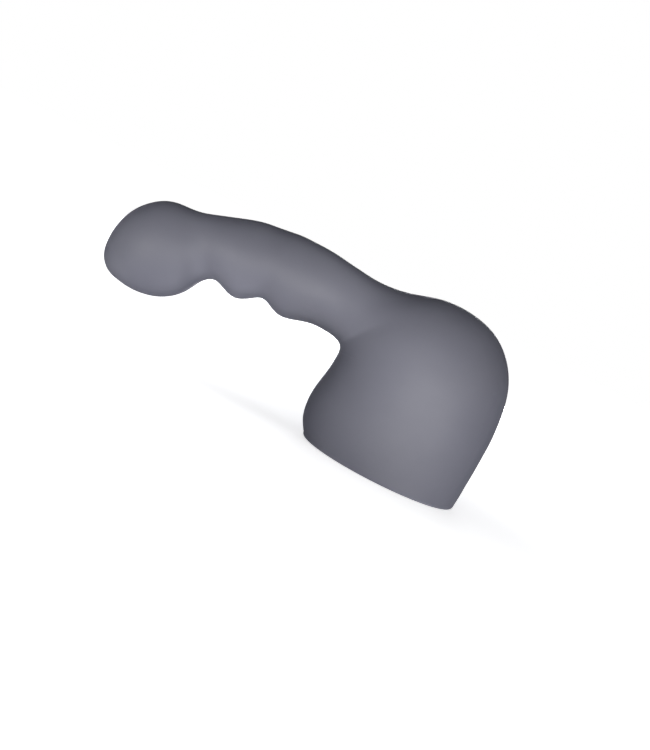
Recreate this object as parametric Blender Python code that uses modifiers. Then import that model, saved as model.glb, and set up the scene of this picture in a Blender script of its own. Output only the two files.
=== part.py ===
"""Slip-on weighted silicone head for a wand massager.

A bell-shaped socket stretches over the round head of a wand. Its crown runs
over into a sideways arm with a scalloped underside, a neck and a bulb tip.
The silicone is one moulding in use; here it is two solids that meet at a
cylindrical face around the flex axis, so the arm can bend on the socket.

Frame: origin at the centre of the socket's mouth, +Z up the socket's axis
through the crown, arm towards -X, symmetric about the XZ plane.
Dimensions below are in millimetres.
"""
import math

import bmesh
import bpy
import numpy as np
from mathutils import Vector

MM = 0.001
NAME = "wand_massager_slip_on_head"

# clearances
GAP = 0.3                       # between neighbouring pieces

# socket
SOCKET_R = 29.5                 # bore that stretches over the wand's head
SOCKET_STRAIGHT = 36.0          # height of the cylindrical part
SOCKET_DOME = 24.0              # semi-height of the dome above it
CEILING_Z = 56.0                # flat contact face at the top of the socket
LIP_FILLET_IN = 1.5
LIP_FILLET_OUT = 1.4

# contact pad and crown plate at the socket's ceiling
PAD_R = 16.0
PAD_T = 2.7
PLATE_T = 2.1
STEM_R = 6.0
STEM_TOP = 66.0
KEEPER_R = 9.0
KEEPER_T = 2.0

# flex line between crown and arm
PIVOT = (-43.0, 57.3)           # x, z of the flex axis, which runs along Y
FLEX_R = 17.0                   # radius of the mating cylindrical faces

# fillet under the arm
CROTCH = (-41.5, 37.3)          # centre of the fillet between arm and socket

# core inside the arm
CORE_R = 8.5
CORE_ROOT = (-30.0, 58.0)
CORE_ELBOW = (-97.0, 56.0)
CORE_TIP = (-123.0, 43.5)       # centre of the ball housing
HOUSING_R = 13.0
WEB = 6.0                       # solid web between two slug pockets
ROOT_WEB = 7.0
SLUG_R = 6.0
SLUG_L = 13.0
SPACER_T = 1.8
BALL_R = 10.0

# core screws, along Y
SCREW_HEAD_R = 2.3
SCREW_HEAD_T = 1.4
SCREW_SHANK_R = 1.2
SCREW_SEAT_Y = -6.3             # underside of the head
SCREW_END_Y = 5.4

# Skin sections: (x, z) on the outer or top line, (x, z) on the arm side or
# underside, and half the width in Y. They run up the socket, turn about the
# fillet under the arm, and follow the arm to the end of the bulb.
SECTIONS = (
    # socket wall
    ((34.9, 1.4), (-35.2, 1.4), 34.9),
    ((35.3, 6.0), (-37.9, 6.0), 35.4),
    ((35.6, 11.0), (-39.2, 11.0), 35.9),
    ((36.0, 17.0), (-39.4, 17.0), 36.2),
    ((36.3, 24.0), (-38.4, 24.0), 36.3),
    ((36.5, 31.0), (-37.1, 31.0), 36.4),
    # crown, turning about the fillet
    ((36.3, 37.3), (-36.7, 37.3), 36.3),
    ((34.5, 50.8), (-36.8, 38.2), 35.7),
    ((29.1, 62.9), (-37.0, 38.9), 34.2),
    ((19.2, 72.2), (-37.3, 39.7), 31.7),
    ((5.2, 76.5), (-37.8, 40.4), 28.0),
    ((-9.0, 76.0), (-38.4, 41.0), 24.1),
    ((-21.0, 72.7), (-39.1, 41.5), 21.6),
    ((-29.1, 71.4), (-39.9, 41.8), 19.8),
    ((-35.5, 71.2), (-40.8, 42.1), 18.6),
    ((-42.0, 71.8), (-42.6, 42.6), 17.3),
    # arm with the scalloped underside
    ((-48.5, 72.6), (-47.5, 43.1), 16.3),
    ((-54.5, 73.4), (-53.5, 42.8), 15.9),
    ((-60.5, 73.9), (-59.5, 41.2), 16.1),
    ((-66.0, 74.0), (-65.5, 40.1), 16.6),
    ((-71.5, 74.0), (-70.5, 41.5), 17.0),
    ((-77.0, 73.4), (-75.5, 43.2), 17.0),
    ((-83.0, 72.7), (-80.5, 40.8), 17.3),
    ((-89.5, 71.8), (-86.5, 38.3), 17.8),
    # neck
    ((-96.0, 70.0), (-92.0, 39.7), 17.5),
    ((-102.0, 68.0), (-96.5, 41.1), 16.7),
    ((-108.0, 66.0), (-100.1, 40.0), 15.2),
    # bulb
    ((-113.5, 64.3), (-103.3, 36.3), 15.6),
    ((-119.0, 63.5), (-106.2, 31.5), 18.1),
    ((-125.0, 63.1), (-110.2, 27.4), 19.8),
    ((-131.1, 61.3), (-115.4, 24.3), 20.3),
    ((-136.3, 57.6), (-121.5, 22.5), 19.4),
    ((-140.4, 52.9), (-127.7, 22.0), 16.9),
    ((-143.2, 47.3), (-133.0, 22.6), 13.4),
    ((-144.8, 41.2), (-137.4, 23.6), 9.3),
    ((-145.2, 35.5), (-141.0, 25.6), 5.2),
    ((-144.3, 30.0), (-144.3, 30.0), 0.0),
)
SKIN_SIDES = 40                 # points around a section


# ---------------------------------------------------------------- helpers

for old in list(bpy.data.objects):
    bpy.data.objects.remove(old, do_unlink=True)

parts = bpy.data.collections.new(NAME)
cutters = bpy.data.collections.new(NAME + "_cutters")
for c in (parts, cutters):
    bpy.context.scene.collection.children.link(c)


def material(name, colour, roughness, metallic=0.0):
    m = bpy.data.materials.new(name)
    m.use_nodes = True
    shader = m.node_tree.nodes["Principled BSDF"]
    shader.inputs["Base Color"].default_value = (*colour, 1.0)
    shader.inputs["Roughness"].default_value = roughness
    shader.inputs["Metallic"].default_value = metallic
    m.diffuse_color = (*colour, 1.0)
    return m


def add_object(name, mesh, collection, mat=None):
    obj = bpy.data.objects.new(name, mesh)
    collection.objects.link(obj)
    if mat:
        mesh.materials.append(mat)
    if collection is cutters:
        obj.hide_render = True
        obj.display_type = 'WIRE'
    return obj


def smooth(mesh, angle=35.0):
    mesh.shade_smooth()
    mesh.set_sharp_from_angle(angle=math.radians(angle))


def turned(name, profile, collection, mat=None, steps=32):
    """Turn a profile of (radius, height) points, top to bottom, about Z."""
    mesh = bpy.data.meshes.new(name)
    pts = [(r * MM, 0.0, z * MM) for r, z in profile]
    mesh.from_pydata(pts, [(i, i + 1) for i in range(len(pts) - 1)], [])
    obj = add_object(name, mesh, collection, mat)
    screw = obj.modifiers.new("turn", 'SCREW')
    screw.axis = 'Z'
    screw.steps = steps
    screw.render_steps = steps
    screw.use_merge_vertices = True
    screw.merge_threshold = 0.00001
    screw.use_smooth_shade = True
    return obj


def cut(obj, cutter, operation='DIFFERENCE'):
    mod = obj.modifiers.new(cutter.name, 'BOOLEAN')
    mod.operation = operation
    mod.solver = 'EXACT'
    mod.object = cutter
    return mod


def aim(obj, origin, direction):
    """Stand an object's +Z along a direction, with its origin at a point in mm."""
    obj.rotation_mode = 'QUATERNION'
    obj.rotation_quaternion = Vector(direction).to_track_quat('Z', 'Y')
    obj.location = [v * MM for v in origin]


def natural_spline(knots, values):
    """Natural cubic spline through values at knots; returns a function."""
    t = np.asarray(knots, float)
    y = np.asarray(values, float)
    n = len(t)
    h = np.diff(t)
    a = np.zeros((n, n))
    b = np.zeros((n,) + y.shape[1:])
    a[0, 0] = a[-1, -1] = 1.0
    for i in range(1, n - 1):
        a[i, i - 1:i + 2] = h[i - 1], 2 * (h[i - 1] + h[i]), h[i]
        b[i] = 6 * ((y[i + 1] - y[i]) / h[i] - (y[i] - y[i - 1]) / h[i - 1])
    m = np.linalg.solve(a, b)

    def at(x):
        i = min(max(int(np.searchsorted(t, x)) - 1, 0), n - 2)
        u, v = t[i + 1] - x, x - t[i]
        return (m[i] * u ** 3 + m[i + 1] * v ** 3) / (6 * h[i]) \
            + (y[i] / h[i] - m[i] * h[i] / 6) * u \
            + (y[i + 1] / h[i] - m[i + 1] * h[i] / 6) * v
    return at


# ---------------------------------------------------------------- skin form

def section_knots():
    """Distance along the form at each section, as the mean of its two lines."""
    d = [0.0]
    for (o0, i0, _), (o1, i1, _) in zip(SECTIONS, SECTIONS[1:]):
        d.append(d[-1] + 0.5 * (math.dist(o0, o1) + math.dist(i0, i1)))
    return d


KNOTS = section_knots()
FORM = natural_spline(KNOTS, [(*o, *i, w) for o, i, w in SECTIONS])


def ring(values, inset=0.0, drop=0.0):
    ox, oz, ix, iz, w = values
    centre = np.array([(ox + ix) / 2, 0.0, (oz + iz) / 2 - drop])
    half = np.array([(ox - ix) / 2, 0.0, (oz - iz) / 2])
    length = np.linalg.norm(half)
    half *= (length - inset) / length
    side = np.array([0.0, w - inset, 0.0])
    for k in range(SKIN_SIDES):
        a = 2 * math.pi * k / SKIN_SIDES
        yield tuple((centre + half * math.cos(a) + side * math.sin(a)) * MM)


def skin_mesh(name):
    """Closed loft through the sections, flat at the mouth."""
    bm = bmesh.new()
    first = FORM(KNOTS[0])
    rings = []
    top = SECTIONS[0][0][1]
    for a in (90, 60, 30):      # rounded outer edge of the lip
        c, s = math.cos(math.radians(a)), math.sin(math.radians(a))
        rings.append(ring(first, LIP_FILLET_OUT * (1 - c), top * s))
    stops = []
    for k in range(len(KNOTS) - 1):
        n = 2 if 6 <= k <= 10 or 15 <= k <= 26 or k == len(KNOTS) - 2 else 1
        stops += [KNOTS[k] + (KNOTS[k + 1] - KNOTS[k]) * j / n for j in range(n)]
    rings += [ring(FORM(t)) for t in stops]
    loops = [[bm.verts.new(p) for p in r] for r in rings]
    for lower, upper in zip(loops, loops[1:]):
        for k in range(SKIN_SIDES):
            j = (k + 1) % SKIN_SIDES
            bm.faces.new((lower[k], lower[j], upper[j], upper[k]))
    bm.faces.new(list(reversed(loops[0])))
    x, z = SECTIONS[-1][0]
    pole = bm.verts.new((x * MM, 0.0, z * MM))
    for k in range(SKIN_SIDES):
        bm.faces.new((loops[-1][k], loops[-1][(k + 1) % SKIN_SIDES], pole))
    mesh = bpy.data.meshes.new(name)
    bm.to_mesh(mesh)
    bm.free()
    smooth(mesh)
    return mesh


def flex_outline(radius):
    """Outline in XZ of all that bends with the arm, rounded about the flex axis."""
    px, pz = PIVOT
    pts = [(-190.0, 120.0), (px + radius * math.cos(math.radians(70)), 120.0)]
    for a in range(70, -83, -8):
        pts.append((px + radius * math.cos(math.radians(a)),
                    pz + radius * math.sin(math.radians(a))))
    pts += [CROTCH, (CROTCH[0] - 6.0, -30.0), (-190.0, -30.0)]
    return pts


def extruded(name, outline, half_depth, collection):
    """Flat outline in XZ, extruded along Y."""
    curve = bpy.data.curves.new(name, 'CURVE')
    curve.dimensions = '2D'
    curve.fill_mode = 'BOTH'
    curve.extrude = half_depth * MM
    spline = curve.splines.new('POLY')
    spline.points.add(len(outline) - 1)
    for p, (x, z) in zip(spline.points, outline):
        p.co = (x * MM, z * MM, 0.0, 1.0)
    spline.use_cyclic_u = True
    tmp = bpy.data.objects.new(name + "_outline", curve)
    collection.objects.link(tmp)
    tmp.rotation_euler = (math.radians(90), 0, 0)
    return meshed(tmp, name, collection)


def meshed(tmp, name, collection, mat=None):
    """Replace a curve object by its welded mesh."""
    bpy.context.view_layer.update()
    graph = bpy.context.evaluated_depsgraph_get()
    mesh = bpy.data.meshes.new_from_object(tmp.evaluated_get(graph))
    mesh.name = name
    bm = bmesh.new()
    bm.from_mesh(mesh)
    bmesh.ops.remove_doubles(bm, verts=bm.verts, dist=1e-6)
    bmesh.ops.recalc_face_normals(bm, faces=bm.faces)
    bm.to_mesh(mesh)
    bm.free()
    obj = add_object(name, mesh, collection, mat)
    obj.matrix_world = tmp.matrix_world.copy()
    bpy.data.objects.remove(tmp, do_unlink=True)
    return obj


# ---------------------------------------------------------------- core form

ROOT = Vector((CORE_ROOT[0], 0.0, CORE_ROOT[1]))
ELBOW = Vector((CORE_ELBOW[0], 0.0, CORE_ELBOW[1]))
TIP = Vector((CORE_TIP[0], 0.0, CORE_TIP[1]))
LEG_A = (ELBOW - ROOT).normalized()
LEG_B = (TIP - ELBOW).normalized()


def core_form(name, grow, root_extra, collection, mat=None):
    """Tube from the root over the elbow, ending in the round ball housing."""
    tube, ball = CORE_R + grow, HOUSING_R + grow
    pts = [(ROOT - LEG_A * root_extra, tube)]
    for f in (0.0, 0.25, 0.5, 0.75, 1.0):      # elbow, 8 mm each side
        p = (ELBOW - LEG_A * 8.0).lerp(ELBOW, f)
        q = ELBOW.lerp(ELBOW + LEG_B * 8.0, f)
        pts.append((p.lerp(q, f), tube))
    start = math.asin(tube / ball)
    for k in range(9):
        a = start + (math.radians(177) - start) * k / 8
        pts.append((TIP - LEG_B * (ball * math.cos(a)), ball * math.sin(a)))
    curve = bpy.data.curves.new(name, 'CURVE')
    curve.dimensions = '3D'
    curve.bevel_depth = MM
    curve.bevel_resolution = 6
    curve.use_fill_caps = True
    spline = curve.splines.new('POLY')
    spline.points.add(len(pts) - 1)
    for p, (co, r) in zip(spline.points, pts):
        p.co = (*(co * MM), 1.0)
        p.radius = r
    tmp = bpy.data.objects.new(name + "_path", curve)
    collection.objects.link(tmp)
    obj = meshed(tmp, name, collection, mat)
    smooth(obj.data, 50)
    return obj


def cylinder(name, radius, length, collection, mat=None, chamfer=0.0, steps=20):
    """Turned cylinder from z = 0 to its length."""
    c = chamfer
    if c:
        profile = [(0, length), (radius - c, length), (radius, length - c),
                   (radius, c), (radius - c, 0), (0, 0)]
    else:
        profile = [(0, length), (radius, length), (radius, 0), (0, 0)]
    return turned(name, profile, collection, mat, steps)


def box(name, low, high, collection):
    bm = bmesh.new()
    bmesh.ops.create_cube(bm, size=1.0)
    size = [(h - l) * MM for l, h in zip(low, high)]
    bmesh.ops.scale(bm, vec=size, verts=bm.verts)
    mesh = bpy.data.meshes.new(name)
    bm.to_mesh(mesh)
    bm.free()
    obj = add_object(name, mesh, collection)
    obj.location = [(h + l) / 2 * MM for l, h in zip(low, high)]
    return obj


# ---------------------------------------------------------------- materials

silicone = material("silicone", (0.155, 0.155, 0.180), 0.62)
pad_rubber = material("pad_rubber", (0.060, 0.060, 0.068), 0.70)
nylon = material("nylon", (0.110, 0.112, 0.118), 0.50)
steel = material("steel", (0.560, 0.565, 0.580), 0.30, 1.0)
foam = material("foam", (0.030, 0.030, 0.032), 0.90)

# ---------------------------------------------------------------- socket

cup_skin = add_object("cup_skin", skin_mesh("cup_skin"), parts, silicone)

flex_cut = extruded("flex_cut_cup", flex_outline(FLEX_R + GAP / 2), 60.0, cutters)
cut(cup_skin, flex_cut)

dome = []
for k in range(13):
    # from the ceiling's edge down to the top of the cylindrical part
    top_u = (CEILING_Z - SOCKET_STRAIGHT) / SOCKET_DOME
    a = math.asin(top_u) * (1 - k / 12)
    dome.append((SOCKET_R * math.cos(a), SOCKET_STRAIGHT + SOCKET_DOME * math.sin(a)))
room_r = PAD_R + GAP
dome[0] = (room_r, CEILING_Z)
pocket_top = CEILING_Z + PAD_T + PLATE_T + 2 * GAP
lip = []
for a in (0, 30, 60, 90):
    c, s = math.cos(math.radians(a)), math.sin(math.radians(a))
    lip.append((SOCKET_R + LIP_FILLET_IN * (1 - c), LIP_FILLET_IN * (1 - s)))
socket_profile = [
    (0, STEM_TOP + KEEPER_T + GAP), (KEEPER_R + GAP, STEM_TOP + KEEPER_T + GAP),
    (KEEPER_R + GAP, STEM_TOP - GAP), (STEM_R + GAP, STEM_TOP - GAP),
    (STEM_R + GAP, pocket_top), (room_r, pocket_top),
] + dome + lip + [(SOCKET_R + LIP_FILLET_IN, -4.0), (0, -4.0)]
socket_room = turned("socket_room", socket_profile, cutters, steps=48)
cut(cup_skin, socket_room)

contact_pad = turned("contact_pad", [
    (0, CEILING_Z + PAD_T), (PAD_R, CEILING_Z + PAD_T), (PAD_R, CEILING_Z + 0.5),
    (PAD_R - 0.5, CEILING_Z), (0, CEILING_Z)], parts, pad_rubber, 48)

plate_z = CEILING_Z + PAD_T + GAP
crown_plate = turned("crown_plate", [
    (0, STEM_TOP + KEEPER_T), (KEEPER_R - 0.5, STEM_TOP + KEEPER_T),
    (KEEPER_R, STEM_TOP + KEEPER_T - 0.5), (KEEPER_R, STEM_TOP), (STEM_R, STEM_TOP),
    (STEM_R, plate_z + PLATE_T), (PAD_R, plate_z + PLATE_T), (PAD_R, plate_z),
    (0, plate_z)], parts, nylon, 40)

# ---------------------------------------------------------------- arm skin

arm_skin = add_object("arm_skin", skin_mesh("arm_skin"), parts, silicone)
arm_region = extruded("arm_region", flex_outline(FLEX_R - GAP / 2), 60.0, cutters)
cut(arm_skin, arm_region, 'INTERSECT')
core_room = core_form("core_room", GAP, 10.0, cutters)
cut(arm_skin, core_room)

# ---------------------------------------------------------------- core

core_left = core_form("core_left", 0.0, 0.0, parts, nylon)
core_right = core_form("core_right", 0.0, 0.0, parts, nylon)
cut(core_left, box("left_side", (-160, -30, 0), (0, -GAP / 2, 90), cutters), 'INTERSECT')
cut(core_right, box("right_side", (-160, GAP / 2, 0), (0, 30, 90), cutters), 'INTERSECT')

POCKET = SLUG_L + SPACER_T + 3 * GAP


def along_leg(s):
    return ROOT + LEG_A * s


s = ROOT_WEB
screw_points = [along_leg(ROOT_WEB / 2)]
arm_pieces = [arm_skin, core_left, core_right]
for i in (1, 2, 3):
    room = cylinder(f"slug_room_{i}", SLUG_R + GAP, POCKET, cutters)
    aim(room, along_leg(s), LEG_A)
    for half in (core_left, core_right):
        cut(half, room)
    slug = cylinder(f"arm_weight_{i}", SLUG_R, SLUG_L, parts, steel, 0.6)
    aim(slug, along_leg(s + GAP), LEG_A)
    spacer = cylinder(f"weight_spacer_{i}", SLUG_R, SPACER_T, parts, foam)
    aim(spacer, along_leg(s + SLUG_L + 2 * GAP), LEG_A)
    arm_pieces += [slug, spacer]
    s += POCKET
    if i < 3:
        screw_points.append(along_leg(s + WEB / 2))
        s += WEB
screw_points.append(ELBOW + LEG_B * 9.0)

ball_mesh = bpy.data.meshes.new("tip_weight")
bm = bmesh.new()
bmesh.ops.create_uvsphere(bm, u_segments=20, v_segments=12, radius=BALL_R * MM)
bm.to_mesh(ball_mesh)
bm.free()
smooth(ball_mesh, 60)
tip_weight = add_object("tip_weight", ball_mesh, parts, steel)
tip_weight.location = TIP * MM
arm_pieces.append(tip_weight)

room_mesh = bpy.data.meshes.new("ball_room")
bm = bmesh.new()
bmesh.ops.create_uvsphere(bm, u_segments=20, v_segments=12, radius=(BALL_R + GAP) * MM)
bm.to_mesh(room_mesh)
bm.free()
ball_room = add_object("ball_room", room_mesh, cutters)
ball_room.location = TIP * MM
for half in (core_left, core_right):
    cut(half, ball_room)

for i, point in enumerate(screw_points, 1):
    # profiles run from the screw's point (top) to its head, along -Y
    screw = turned(f"core_screw_{i}", [
        (0, SCREW_END_Y), (SCREW_SHANK_R * 0.5, SCREW_END_Y),
        (SCREW_SHANK_R, SCREW_END_Y - 1.2), (SCREW_SHANK_R, SCREW_SEAT_Y),
        (SCREW_HEAD_R, SCREW_SEAT_Y), (SCREW_HEAD_R, SCREW_SEAT_Y - SCREW_HEAD_T + 0.3),
        (SCREW_HEAD_R - 0.3, SCREW_SEAT_Y - SCREW_HEAD_T),
        (0, SCREW_SEAT_Y - SCREW_HEAD_T)], parts, steel, 16)
    aim(screw, point, (0, 1, 0))
    arm_pieces.append(screw)
    room = turned(f"screw_room_{i}", [
        (0, SCREW_END_Y + 0.5), (SCREW_SHANK_R + GAP, SCREW_END_Y + 0.5),
        (SCREW_SHANK_R + GAP, SCREW_SEAT_Y + GAP), (SCREW_HEAD_R + GAP, SCREW_SEAT_Y + GAP),
        (SCREW_HEAD_R + GAP, -12.0), (0, -12.0)], cutters, steps=16)
    aim(room, point, (0, 1, 0))
    for half in (core_left, core_right):
        cut(half, room)

# ---------------------------------------------------------------- flex axis

flex_axis = bpy.data.objects.new("arm_flex_axis", None)
flex_axis.location = (PIVOT[0] * MM, 0.0, PIVOT[1] * MM)
parts.objects.link(flex_axis)
bpy.context.view_layer.update()
for obj in arm_pieces:
    obj.parent = flex_axis
    obj.matrix_parent_inverse = flex_axis.matrix_world.inverted()
bpy.context.view_layer.update()
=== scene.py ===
"""Looks of the slip-on silicone head: one continuous silicone moulding over the
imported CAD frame, its inner parts with finished materials, a pale studio floor,
soft lights and the camera.

Lengths below are in millimetres in the part's own frame: origin at the centre
of the socket's mouth, +Z up the socket, arm towards -X.
"""
import math

import bmesh
import bpy
import numpy as np
from mathutils import Matrix, Vector


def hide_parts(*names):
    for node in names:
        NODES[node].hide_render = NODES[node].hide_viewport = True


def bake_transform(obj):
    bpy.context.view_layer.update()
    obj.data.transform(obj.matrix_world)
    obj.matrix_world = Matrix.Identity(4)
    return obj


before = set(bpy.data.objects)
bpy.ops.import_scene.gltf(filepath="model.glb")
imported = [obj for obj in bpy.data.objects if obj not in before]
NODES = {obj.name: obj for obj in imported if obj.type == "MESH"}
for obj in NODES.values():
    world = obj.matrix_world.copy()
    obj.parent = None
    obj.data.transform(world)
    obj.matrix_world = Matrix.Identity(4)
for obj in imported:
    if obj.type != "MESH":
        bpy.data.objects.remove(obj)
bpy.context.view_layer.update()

MM = 0.001
GAP = 0.3                       # clearance round the inner parts

# ------------------------------------------------------------ the silicone

SOCKET_R = 29.5
SOCKET_STRAIGHT = 36.0
SOCKET_DOME = 24.0
CEILING_Z = 56.0
LIP_FILLET_IN = 1.5
LIP_FILLET_OUT = 1.4
PAD_R = 16.0
PAD_T = 2.7
PLATE_T = 2.1
STEM_R = 6.0
STEM_TOP = 66.0
KEEPER_R = 9.0
KEEPER_T = 2.0

CORE_R = 8.5
CORE_ROOT = (-30.0, 58.0)
CORE_ELBOW = (-97.0, 56.0)
CORE_TIP = (-123.0, 43.5)
HOUSING_R = 13.0

SEAM_H = 0.09                   # parting line of the mould
SEAM_W = 0.34

# (x, z) on the outer or top line, (x, z) on the arm side or underside, and
# half the width in Y
SECTIONS = (
    # socket wall
    ((34.9, 1.4), (-35.2, 1.4), 34.9),
    ((35.3, 6.0), (-37.9, 6.0), 35.4),
    ((35.6, 11.0), (-39.2, 11.0), 35.9),
    ((36.0, 17.0), (-39.4, 17.0), 36.2),
    ((36.3, 24.0), (-38.4, 24.0), 36.3),
    ((36.5, 31.0), (-37.1, 31.0), 36.4),
    # crown, turning about the fillet
    ((36.3, 37.3), (-36.7, 37.3), 36.3),
    ((34.5, 50.8), (-36.8, 38.2), 35.7),
    ((29.1, 62.9), (-37.0, 38.9), 34.2),
    ((19.2, 72.2), (-37.3, 39.7), 31.7),
    ((5.2, 76.5), (-37.8, 40.4), 28.0),
    ((-9.0, 76.0), (-38.4, 41.0), 24.1),
    ((-21.0, 72.7), (-39.1, 41.5), 21.6),
    ((-29.1, 71.4), (-39.9, 41.8), 19.8),
    ((-35.5, 71.2), (-40.8, 42.1), 18.6),
    ((-42.0, 71.8), (-42.6, 42.6), 17.3),
    # arm with the scalloped underside
    ((-48.5, 72.6), (-47.5, 43.1), 16.3),
    ((-54.5, 73.4), (-53.5, 42.8), 15.9),
    ((-60.5, 73.9), (-59.5, 41.2), 16.1),
    ((-66.0, 74.0), (-65.5, 40.1), 16.6),
    ((-71.5, 74.0), (-70.5, 41.5), 17.0),
    ((-77.0, 73.4), (-75.5, 43.2), 17.0),
    ((-83.0, 72.7), (-80.5, 40.8), 17.3),
    ((-89.5, 71.8), (-86.5, 38.3), 17.8),
    # neck
    ((-96.0, 70.0), (-92.0, 39.7), 17.5),
    ((-102.0, 68.0), (-96.5, 41.1), 16.7),
    ((-108.0, 66.0), (-100.1, 40.0), 15.2),
    # bulb
    ((-113.5, 64.3), (-103.3, 36.3), 15.6),
    ((-119.0, 63.5), (-106.2, 31.5), 18.1),
    ((-125.0, 63.1), (-110.2, 27.4), 19.8),
    ((-131.1, 61.3), (-115.4, 24.3), 20.3),
    ((-136.3, 57.6), (-121.5, 22.5), 19.4),
    ((-140.4, 52.9), (-127.7, 22.0), 16.9),
    ((-143.2, 47.3), (-133.0, 22.6), 13.4),
    ((-144.8, 41.2), (-137.4, 23.6), 9.3),
    ((-145.2, 35.5), (-141.0, 25.6), 5.2),
    ((-144.3, 30.0), (-144.3, 30.0), 0.0),
)
SIDES = 128                     # points round a section, without the seam's


def natural_spline(knots, values):
    """Natural cubic spline through values at knots; returns a function."""
    t = np.asarray(knots, float)
    y = np.asarray(values, float)
    n = len(t)
    h = np.diff(t)
    a = np.zeros((n, n))
    b = np.zeros((n,) + y.shape[1:])
    a[0, 0] = a[-1, -1] = 1.0
    for i in range(1, n - 1):
        a[i, i - 1:i + 2] = h[i - 1], 2 * (h[i - 1] + h[i]), h[i]
        b[i] = 6 * ((y[i + 1] - y[i]) / h[i] - (y[i] - y[i - 1]) / h[i - 1])
    m = np.linalg.solve(a, b)

    def at(x):
        i = min(max(int(np.searchsorted(t, x)) - 1, 0), n - 2)
        u, v = t[i + 1] - x, x - t[i]
        return (m[i] * u ** 3 + m[i + 1] * v ** 3) / (6 * h[i]) \
            + (y[i] / h[i] - m[i] * h[i] / 6) * u \
            + (y[i + 1] / h[i] - m[i + 1] * h[i] / 6) * v
    return at


KNOTS = [0.0]
for (o0, i0, _), (o1, i1, _) in zip(SECTIONS, SECTIONS[1:]):
    KNOTS.append(KNOTS[-1] + 0.5 * (math.dist(o0, o1) + math.dist(i0, i1)))
END = KNOTS[-1]

# one curve up the outer line, over the end of the bulb and back along the
# underside, so the end is as smooth as the rest
OUTLINE = natural_spline(
    KNOTS + [2 * END - t for t in reversed(KNOTS[:-1])],
    [(*o, w) for o, _, w in SECTIONS] + [(*i, -w) for _, i, w in reversed(SECTIONS[:-1])])


def section(t):
    """Outer point, inner point and half-width at a distance along the form."""
    ox, oz, w = OUTLINE(t)
    ix, iz, _ = OUTLINE(2 * END - t)
    return ox, oz, ix, iz, w


def seam_profile(y):
    """Height of the mould's parting line at a distance from the symmetry plane."""
    u = abs(y) / SEAM_W
    return 0.0 if u >= 1 else SEAM_H * (0.5 + 0.5 * math.cos(math.pi * u)) ** 1.5


def section_ring(values, inset=0.0, drop=0.0):
    """Points round a section. They are denser at the parting line."""
    ox, oz, ix, iz, w = values
    centre = np.array([(ox + ix) / 2, 0.0, (oz + iz) / 2 - drop])
    half = np.array([(ox - ix) / 2, 0.0, (oz - iz) / 2])
    length = np.linalg.norm(half)
    fade = min(1.0, max(0.0, (w - 3.0) / 6.0))
    along = half / length
    half = along * (length - inset)
    side = w - inset
    step = 2 * math.pi / SIDES
    near = [min(SEAM_W * f / max(side, 1e-6), step * 0.8 * f) for f in (0.33, 0.66, 1.0)]
    angles = []
    for base in (0.0, math.pi):
        angles += [base - n for n in reversed(near)] + [base] + [base + n for n in near]
        angles += [base + step * k for k in range(1, SIDES // 2)]
    ring = []
    for a in angles:
        c, s = math.cos(a), math.sin(a)
        p = centre + half * c
        p[1] += side * s
        ridge = fade * seam_profile(side * s)
        p = p + along * (ridge if c > 0 else -ridge)
        ring.append((p * MM, a))
    return ring


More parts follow.
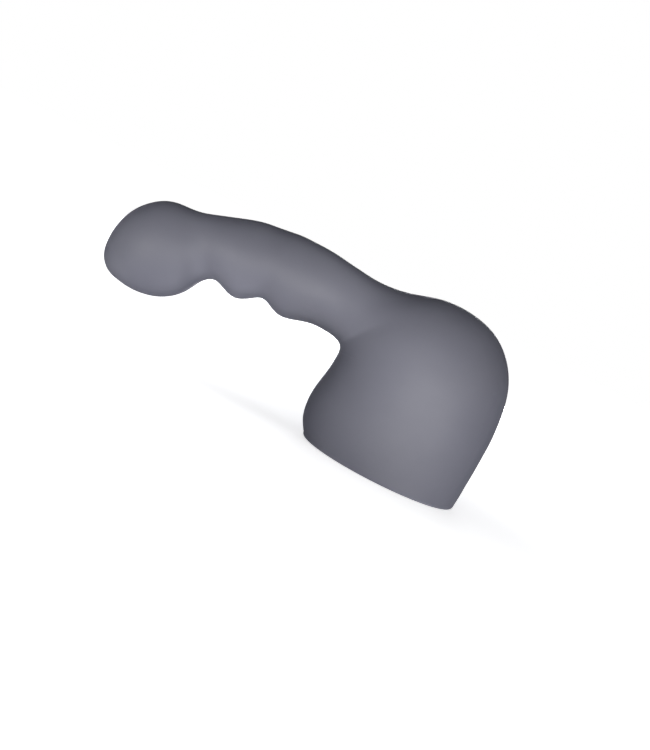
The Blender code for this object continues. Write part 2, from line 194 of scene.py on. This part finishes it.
def silicone_mesh():
    bm = bmesh.new()
    loops = []

    first = section(0.0)
    lip_z = SECTIONS[0][0][1]
    for k in range(6):          # rounded outer edge of the lip
        a = math.radians(90 - 15 * k)
        loops.append(section_ring(first, LIP_FILLET_OUT * (1 - math.cos(a)), lip_z * math.sin(a)))

    stops = []
    for i, (t0, t1) in enumerate(zip(KNOTS, KNOTS[1:])):
        pitch = 0.45 if 6 <= i <= 15 or i >= 33 else 0.65
        n = max(2, round((t1 - t0) / pitch))
        stops += [t0 + (t1 - t0) * j / n for j in range(n)]
    loops += [section_ring(section(t)) for t in stops]

    angles = [a for _, a in loops[0]]
    outer = [[bm.verts.new(p) for p, _ in ring] for ring in loops]
    count = len(angles)

    def bridge(a, b):
        for k in range(count):
            j = (k + 1) % count
            bm.faces.new((a[k], a[j], b[j], b[k]))

    for a, b in zip(outer, outer[1:]):
        bridge(a, b)
    x, z = SECTIONS[-1][0]
    pole = bm.verts.new((x * MM, 0.0, z * MM))
    for k in range(count):
        bm.faces.new((outer[-1][k], outer[-1][(k + 1) % count], pole))

    # mouth, socket, and the pocket that holds the pad, the plate and its stem
    profile = []
    for k in range(6):          # rounded inner edge of the lip
        a = math.radians(90 - 18 * k)
        profile.append((SOCKET_R + LIP_FILLET_IN * (1 - math.cos(a)),
                        LIP_FILLET_IN * (1 - math.sin(a))))
    profile.append((SOCKET_R, LIP_FILLET_IN))
    profile += [(SOCKET_R, LIP_FILLET_IN + (SOCKET_STRAIGHT - LIP_FILLET_IN) * k / 30)
                for k in range(1, 31)]
    room_r = PAD_R + GAP
    top_a = math.asin((CEILING_Z - SOCKET_STRAIGHT) / SOCKET_DOME)
    for k in range(1, 31):
        a = top_a * k / 30
        r = SOCKET_R * math.cos(a)
        if r > room_r + 0.25:
            profile.append((r, SOCKET_STRAIGHT + SOCKET_DOME * math.sin(a)))
    pocket = CEILING_Z + PAD_T + PLATE_T + 2 * GAP
    profile += [(room_r + 0.25, CEILING_Z), (room_r, CEILING_Z + 0.25), (room_r, pocket),
                (STEM_R + GAP, pocket), (STEM_R + GAP, STEM_TOP - GAP),
                (KEEPER_R + GAP, STEM_TOP - GAP),
                (KEEPER_R + GAP, STEM_TOP + KEEPER_T + GAP)]
    previous = outer[0]
    # the face of the lip, between its two rounded edges
    for share in (0.25, 0.5, 0.75):
        mid = []
        for (p, a) in loops[0]:
            q = Vector((profile[0][0] * math.cos(a) * MM, profile[0][0] * math.sin(a) * MM, 0.0))
            mid.append(bm.verts.new(Vector(p).lerp(q, share)))
        bridge(mid, previous)
        previous = mid
    for r, z in profile:
        ring = [bm.verts.new((r * math.cos(a) * MM, r * math.sin(a) * MM, z * MM)) for a in angles]
        bridge(ring, previous)
        previous = ring
    z = profile[-1][1]
    top = bm.verts.new((0.0, 0.0, z * MM))
    for k in range(count):
        bm.faces.new((previous[(k + 1) % count], previous[k], top))

    # closed cavity round the core
    root = Vector((CORE_ROOT[0], 0.0, CORE_ROOT[1]))
    elbow = Vector((CORE_ELBOW[0], 0.0, CORE_ELBOW[1]))
    tip = Vector((CORE_TIP[0], 0.0, CORE_TIP[1]))
    leg_a, leg_b = (elbow - root).normalized(), (tip - elbow).normalized()
    tube, ball = CORE_R + GAP, HOUSING_R + GAP
    path = [(root - leg_a * GAP, 0.0), (root - leg_a * GAP, tube)]
    for k in range(1, 13):
        path.append((root.lerp(elbow - leg_a * 8.0, k / 12), tube))
    for k in range(1, 7):
        f = k / 6
        p = (elbow - leg_a * 8.0).lerp(elbow, f)
        q = elbow.lerp(elbow + leg_b * 8.0, f)
        path.append((p.lerp(q, f), tube))
    start = math.asin(tube / ball)
    for k in range(13):
        a = start + (math.pi - start) * k / 12
        path.append((tip - leg_b * (ball * math.cos(a)), ball * math.sin(a)))
    rings, n = [], 48
    for k, (co, r) in enumerate(path):
        if k in (0, len(path) - 1):
            rings.append([bm.verts.new(co * MM)])
            continue
        ahead = (path[min(k + 1, len(path) - 2)][0] - path[max(k - 1, 1)][0]).normalized()
        u = ahead.cross(Vector((0.0, 1.0, 0.0))).normalized()
        rings.append([bm.verts.new((co + (u * math.cos(2 * math.pi * j / n)
                                          + Vector((0.0, 1.0, 0.0)) * math.sin(2 * math.pi * j / n)) * r) * MM)
                      for j in range(n)])
    for a, b in zip(rings, rings[1:]):
        for j in range(n):
            q = (j + 1) % n
            if len(a) == 1:
                bm.faces.new((a[0], b[j], b[q]))
            elif len(b) == 1:
                bm.faces.new((a[j], b[0], a[q]))
            else:
                bm.faces.new((a[j], b[j], b[q], a[q]))
    bmesh.ops.recalc_face_normals(bm, faces=bm.faces)
    mesh = bpy.data.meshes.new("silicone_skin")
    bm.to_mesh(mesh)
    bm.free()
    mesh.shade_smooth()
    mesh.set_sharp_from_angle(angle=math.radians(50))
    return mesh


# ------------------------------------------------------------ materials

class Shader:
    """A node material with a Principled shader and object coordinates."""

    def __init__(self, name):
        self.mat = bpy.data.materials.new(name)
        self.mat.use_nodes = True
        self.tree = self.mat.node_tree
        self.bsdf = self.tree.nodes["Principled BSDF"]
        self.coords = self.node("ShaderNodeTexCoord").outputs["Object"]

    def node(self, kind, **settings):
        n = self.tree.nodes.new(kind)
        for key, value in settings.items():
            setattr(n, key, value)
        return n

    def link(self, a, b):
        self.tree.links.new(a, b)

    def set(self, **values):
        for key, value in values.items():
            self.bsdf.inputs[key.replace("_", " ")].default_value = value

    def noise(self, scale, detail=2.0, roughness=0.5, vector=None):
        n = self.node("ShaderNodeTexNoise")
        n.inputs["Scale"].default_value = scale
        n.inputs["Detail"].default_value = detail
        n.inputs["Roughness"].default_value = roughness
        self.link(vector or self.coords, n.inputs["Vector"])
        return n.outputs["Fac"]

    def remap(self, value, low, high, from_low=0.3, from_high=0.7):
        n = self.node("ShaderNodeMapRange")
        n.inputs["From Min"].default_value = from_low
        n.inputs["From Max"].default_value = from_high
        n.inputs["To Min"].default_value = low
        n.inputs["To Max"].default_value = high
        self.link(value, n.inputs["Value"])
        return n.outputs["Result"]

    def colour_between(self, a, b, factor):
        n = self.node("ShaderNodeMix", data_type='RGBA')
        self.link(factor, n.inputs[0])
        n.inputs[6].default_value = (*a, 1.0)
        n.inputs[7].default_value = (*b, 1.0)
        return n.outputs[2]

    def bump(self, height, distance, strength=1.0, normal=None):
        n = self.node("ShaderNodeBump")
        n.inputs["Distance"].default_value = distance
        n.inputs["Strength"].default_value = strength
        self.link(height, n.inputs["Height"])
        if normal:
            self.link(normal, n.inputs["Normal"])
        return n.outputs["Normal"]


def silicone_material():
    """Matte, velvety, faintly mottled grey silicone."""
    s = Shader("matte_silicone")
    s.set(IOR=1.41, Sheen_Weight=0.03, Sheen_Roughness=0.35)
    s.bsdf.inputs["Sheen Tint"].default_value = (0.86, 0.88, 1.0, 1.0)
    mottle = s.remap(s.noise(38.0, 3.0), 0.0, 1.0)
    s.link(s.colour_between((0.147, 0.148, 0.184), (0.157, 0.158, 0.194), mottle),
           s.bsdf.inputs["Base Color"])
    s.link(s.remap(s.noise(170.0, 3.0), 0.54, 0.62), s.bsdf.inputs["Roughness"])
    grain = s.noise(2600.0, 2.0, 0.55)
    soft = s.noise(520.0, 2.0, 0.5)
    n = s.bump(soft, 0.00003)
    n = s.bump(grain, 0.000018, normal=n)
    s.link(n, s.bsdf.inputs["Normal"])
    return s.mat


def rubber_material():
    s = Shader("moulded_rubber")
    s.set(IOR=1.5)
    s.link(s.colour_between((0.050, 0.050, 0.056), (0.066, 0.066, 0.073),
                            s.remap(s.noise(260.0, 3.0), 0.0, 1.0)), s.bsdf.inputs["Base Color"])
    s.link(s.remap(s.noise(700.0, 2.0), 0.62, 0.78), s.bsdf.inputs["Roughness"])
    s.link(s.bump(s.noise(1600.0, 3.0, 0.6), 0.00006), s.bsdf.inputs["Normal"])
    return s.mat


def nylon_material():
    s = Shader("filled_nylon")
    s.set(IOR=1.53)
    # short glass fibres show as fine streaks along the flow
    stretch = s.node("ShaderNodeMapping")
    stretch.inputs["Scale"].default_value = (0.16, 1.0, 1.0)
    s.link(s.coords, stretch.inputs["Vector"])
    fibre = s.noise(3800.0, 2.0, 0.6, stretch.outputs["Vector"])
    s.link(s.colour_between((0.092, 0.094, 0.100), (0.128, 0.130, 0.136),
                            s.remap(fibre, 0.0, 1.0)), s.bsdf.inputs["Base Color"])
    s.link(s.remap(s.noise(420.0, 2.0), 0.42, 0.56), s.bsdf.inputs["Roughness"])
    s.link(s.bump(fibre, 0.00002), s.bsdf.inputs["Normal"])
    return s.mat


def steel_material():
    s = Shader("turned_steel")
    s.set(Metallic=1.0)
    s.link(s.colour_between((0.52, 0.525, 0.54), (0.60, 0.605, 0.62),
                            s.remap(s.noise(900.0, 3.0), 0.0, 1.0)), s.bsdf.inputs["Base Color"])
    s.link(s.remap(s.noise(1500.0, 3.0), 0.24, 0.38), s.bsdf.inputs["Roughness"])
    s.link(s.bump(s.noise(4200.0, 2.0), 0.000006), s.bsdf.inputs["Normal"])
    return s.mat


def foam_material():
    s = Shader("cell_foam")
    s.set(IOR=1.45)
    cells = s.node("ShaderNodeTexVoronoi")
    cells.inputs["Scale"].default_value = 2400.0
    s.link(s.coords, cells.inputs["Vector"])
    s.link(s.colour_between((0.020, 0.020, 0.021), (0.042, 0.042, 0.044),
                            s.remap(cells.outputs["Distance"], 0.0, 1.0, 0.0, 0.8)),
           s.bsdf.inputs["Base Color"])
    s.set(Roughness=0.9)
    s.link(s.bump(cells.outputs["Distance"], 0.00012), s.bsdf.inputs["Normal"])
    return s.mat


# ------------------------------------------------------------ the object

skin = bpy.data.objects.new("silicone_skin", silicone_mesh())
bpy.context.scene.collection.objects.link(skin)
skin.data.materials.append(silicone_material())
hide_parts("cup_skin", "arm_skin")
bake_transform(skin)

FINISHES = {
    "pad_rubber": (rubber_material(), ["contact_pad"]),
    "nylon": (nylon_material(), ["crown_plate", "core_left", "core_right"]),
    "steel": (steel_material(), ["tip_weight"] + [f"core_screw_{i}" for i in range(1, 5)]
              + [f"arm_weight_{i}" for i in range(1, 4)]),
    "foam": (foam_material(), [f"weight_spacer_{i}" for i in range(1, 4)]),
}
for slot_name, (mat, names) in FINISHES.items():
    for name in names:
        node = NODES[name]
        node.data.materials.clear()
        node.data.materials.append(mat)

# ------------------------------------------------------------ the studio

scene = bpy.context.scene
scene.view_settings.view_transform = 'Standard'
scene.view_settings.look = 'None'


def floor():
    """Large plain floor that the lip stands on."""
    bm = bmesh.new()
    bmesh.ops.create_circle(bm, cap_ends=True, segments=96, radius=14.0)
    mesh = bpy.data.meshes.new("studio_floor")
    bm.to_mesh(mesh)
    bm.free()
    obj = bpy.data.objects.new("studio_floor", mesh)
    scene.collection.objects.link(obj)
    mat = bpy.data.materials.new("studio_floor")
    mat.use_nodes = True
    tree = mat.node_tree
    bsdf = tree.nodes["Principled BSDF"]
    bsdf.inputs["Base Color"].default_value = (0.80, 0.80, 0.80, 1.0)
    bsdf.inputs["Roughness"].default_value = 0.9
    bsdf.inputs["Emission Color"].default_value = (1.0, 1.0, 1.0, 1.0)
    # emission paler away from the object, so the floor is white out there; the dimmer glow close to the object
    # is a painted soft shadow round it
    coords = tree.nodes.new("ShaderNodeTexCoord")
    length = tree.nodes.new("ShaderNodeVectorMath")
    length.operation = 'LENGTH'
    tree.links.new(coords.outputs["Object"], length.inputs[0])
    floor_glow_painted_shadow = tree.nodes.new("ShaderNodeMapRange")
    floor_glow_painted_shadow.interpolation_type = 'SMOOTHSTEP'
    # glow 0.66 near the object rising to 1.0 at 0.16 m: painted soft shadow, then plain white floor
    for key, value in (("From Min", 0.035), ("From Max", 0.16), ("To Min", 0.66), ("To Max", 1.0)):
        floor_glow_painted_shadow.inputs[key].default_value = value
    tree.links.new(length.outputs["Value"], floor_glow_painted_shadow.inputs["Value"])
    tree.links.new(floor_glow_painted_shadow.outputs["Result"], bsdf.inputs["Emission Strength"])
    mesh.materials.append(mat)
    # the floor takes the object's soft shadow, and the lights alone shape the silicone
    obj.visible_diffuse = False
    obj.visible_glossy = False
    obj.visible_shadow = False
    return obj


floor()

world = bpy.data.worlds.new("studio")
scene.world = world
world.use_nodes = True
tree = world.node_tree
backdrop = tree.nodes["Background"]         # the white that the camera sees
backdrop.inputs["Color"].default_value = (1.0, 1.0, 1.0, 1.0)
backdrop.inputs["Strength"].default_value = 1.0
ambient = tree.nodes.new("ShaderNodeBackground")    # the light of the room
ambient.inputs["Color"].default_value = (0.975, 0.99, 1.05, 1.0)
ambient.inputs["Strength"].default_value = 0.06
paths = tree.nodes.new("ShaderNodeLightPath")
chosen = tree.nodes.new("ShaderNodeMixShader")
tree.links.new(paths.outputs["Is Camera Ray"], chosen.inputs["Fac"])
tree.links.new(ambient.outputs["Background"], chosen.inputs[1])
tree.links.new(backdrop.outputs["Background"], chosen.inputs[2])
tree.links.new(chosen.outputs["Shader"], tree.nodes["World Output"].inputs["Surface"])


CENTRE = Vector((-0.054, 0.0, 0.040))
CUP = Vector((0.003, -0.020, 0.035))
ROOT = Vector((-0.034, -0.020, 0.054))
BULB = Vector((-0.122, -0.010, 0.043))
BULB_FACE = Vector((-0.117, -0.018, 0.038))
WARM = (1.0, 0.997, 0.975)      # key lights
COOL = (0.975, 0.990, 1.050)    # fill lights


def around(target, azimuth, elevation, distance):
    """Point at a distance from a target. Azimuth 0 is in front of it, at -Y."""
    a, e = math.radians(azimuth), math.radians(elevation)
    return target + Vector((math.sin(a) * math.cos(e), -math.cos(a) * math.cos(e),
                            math.sin(e))) * distance


def lamp(name, data, tint, where, target):
    data.color = tint
    obj = bpy.data.objects.new(name, data)
    scene.collection.objects.link(obj)
    obj.location = where
    obj.rotation_mode = 'QUATERNION'
    obj.rotation_quaternion = (target - where).to_track_quat('-Z', 'Y')
    obj.visible_camera = False
    return obj


def soft_light(name, tint, target, azimuth, elevation, distance, size, level):
    """Round soft light. A level of 1 turns a white surface that faces it fully white."""
    data = bpy.data.lights.new(name, 'AREA')
    data.shape = 'DISK'
    data.size = size
    data.energy = math.pi ** 2 * (distance ** 2 + size ** 2 / 4) * level
    return lamp(name, data, tint, around(target, azimuth, elevation, distance), target)


def pool(name, tint, target, azimuth, elevation, distance, radius, level):
    """Focused light whose pool fades out softly at a radius round its target."""
    data = bpy.data.lights.new(name, 'SPOT')
    data.shadow_soft_size = 0.04
    data.spot_size = 2 * math.atan(radius / distance)
    data.spot_blend = 1.0
    data.energy = 4 * math.pi ** 2 * distance ** 2 * level
    return lamp(name, data, tint, around(target, azimuth, elevation, distance), target)


soft_light("front", WARM, BULB, 30, 0, 0.22, 0.08, 0.31)
soft_light("front_right", WARM, CENTRE, 45, 0, 0.95, 0.5, 0.36)
pool("cup_pool", WARM, CUP, 25, 0, 0.50, 0.060, 0.31)
pool("root_pool", WARM, ROOT, 0, -10, 0.50, 0.036, 1.32)
pool("bulb_pool", WARM, BULB_FACE, -25, -10, 0.50, 0.024, 3.6)
soft_light("low_right", COOL, CENTRE, 90, -50, 0.95, 0.5, 0.41)
soft_light("low_left", COOL, CENTRE, -90, -50, 0.95, 0.5, 0.17)
soft_light("left", COOL, CENTRE, -90, 0, 0.95, 0.5, 0.09)
soft_light("back", COOL, CENTRE, 180, 0, 0.95, 0.5, 0.60)
soft_light("top", COOL, CENTRE, 0, 90, 0.95, 0.5, 0.13)

# ------------------------------------------------------------ the camera

AZIMUTH, ELEVATION, ROLL = 2.99, 5.20, 26.49
DISTANCE = 0.550
AIM = Vector((-0.054, 0.0, 0.042))
OFFSET_RIGHT, OFFSET_UP = 0.00757, -0.02141

a, e, r = (math.radians(v) for v in (AZIMUTH, ELEVATION, ROLL))
back = Vector((math.sin(a) * math.cos(e), -math.cos(a) * math.cos(e), math.sin(e)))
level = Vector((math.cos(a), math.sin(a), 0.0))
above = back.cross(level)
right = level * math.cos(r) + above * math.sin(r)
up = above * math.cos(r) - level * math.sin(r)
camera_data = bpy.data.cameras.new("camera")
camera_data.lens = 62.93
camera_data.sensor_width = 36.0
camera_data.clip_start = 0.01
camera_data.clip_end = 100.0
camera = bpy.data.objects.new("camera", camera_data)
scene.collection.objects.link(camera)
place = AIM + back * DISTANCE + right * OFFSET_RIGHT + up * OFFSET_UP
camera.matrix_world = Matrix((
    (right.x, up.x, back.x, place.x),
    (right.y, up.y, back.y, place.y),
    (right.z, up.z, back.z, place.z),
    (0.0, 0.0, 0.0, 1.0)))
scene.camera = camera

bpy.context.view_layer.update()
